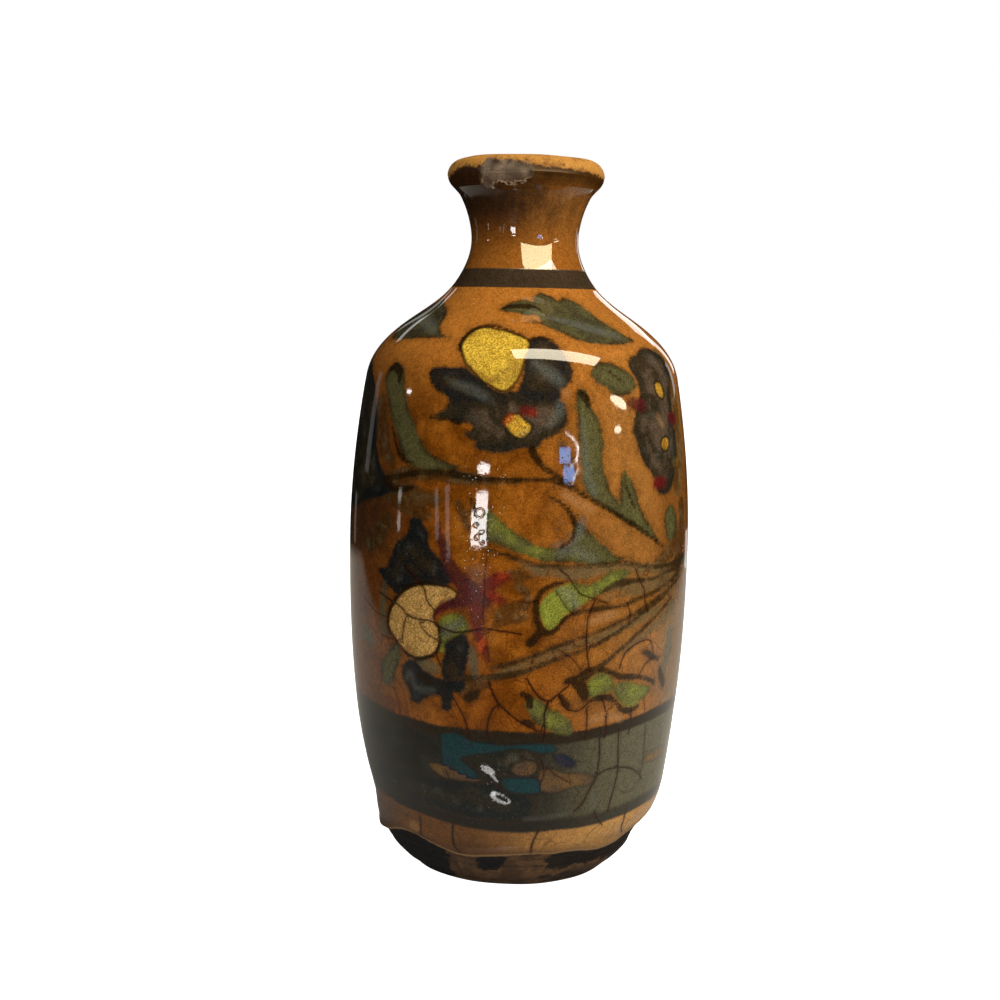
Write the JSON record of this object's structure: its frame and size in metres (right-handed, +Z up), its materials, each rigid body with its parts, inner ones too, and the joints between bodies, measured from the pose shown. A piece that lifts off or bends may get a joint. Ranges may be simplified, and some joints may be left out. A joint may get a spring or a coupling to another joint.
{
  "type": "pottery flask",
  "caption": "Bottle-shaped pottery flask with a waisted neck, everted lip and bare foot ring, under an amber glaze.",
  "frame": {"origin": "on the axis, in the plane on which the foot ring stands", "axes": "+Z up along the flask's axis; -Y is the side that the picture shows"},
  "size_m": [0.097, 0.097, 0.2],
  "materials": {
    "bare_clay": "bare, stained fired clay",
    "body_clay": "fired clay",
    "rim_clay": "worn fired clay",
    "luting_slip": "fired slip",
    "slip_ground": "fired pale slip",
    "amber_glaze": "glossy fired glaze over painting",
    "inner_glaze": "glossy fired glaze"
  },
  "bodies": {
    "root": {"foot_ring": "bare_clay", "foot_luting_slip": "luting_slip", "floor_slab": "bare_clay", "floor_luting_slip": "luting_slip", "body_wall": "body_clay", "shoulder_luting_slip": "luting_slip", "shoulder": "body_clay", "neck_luting_slip": "luting_slip", "neck": "body_clay", "lip_luting_slip": "luting_slip", "lip_ring": "rim_clay", "slip_ground": "slip_ground", "outer_glaze": "amber_glaze", "inner_glaze": "inner_glaze"}
  },
  "joints": []
}
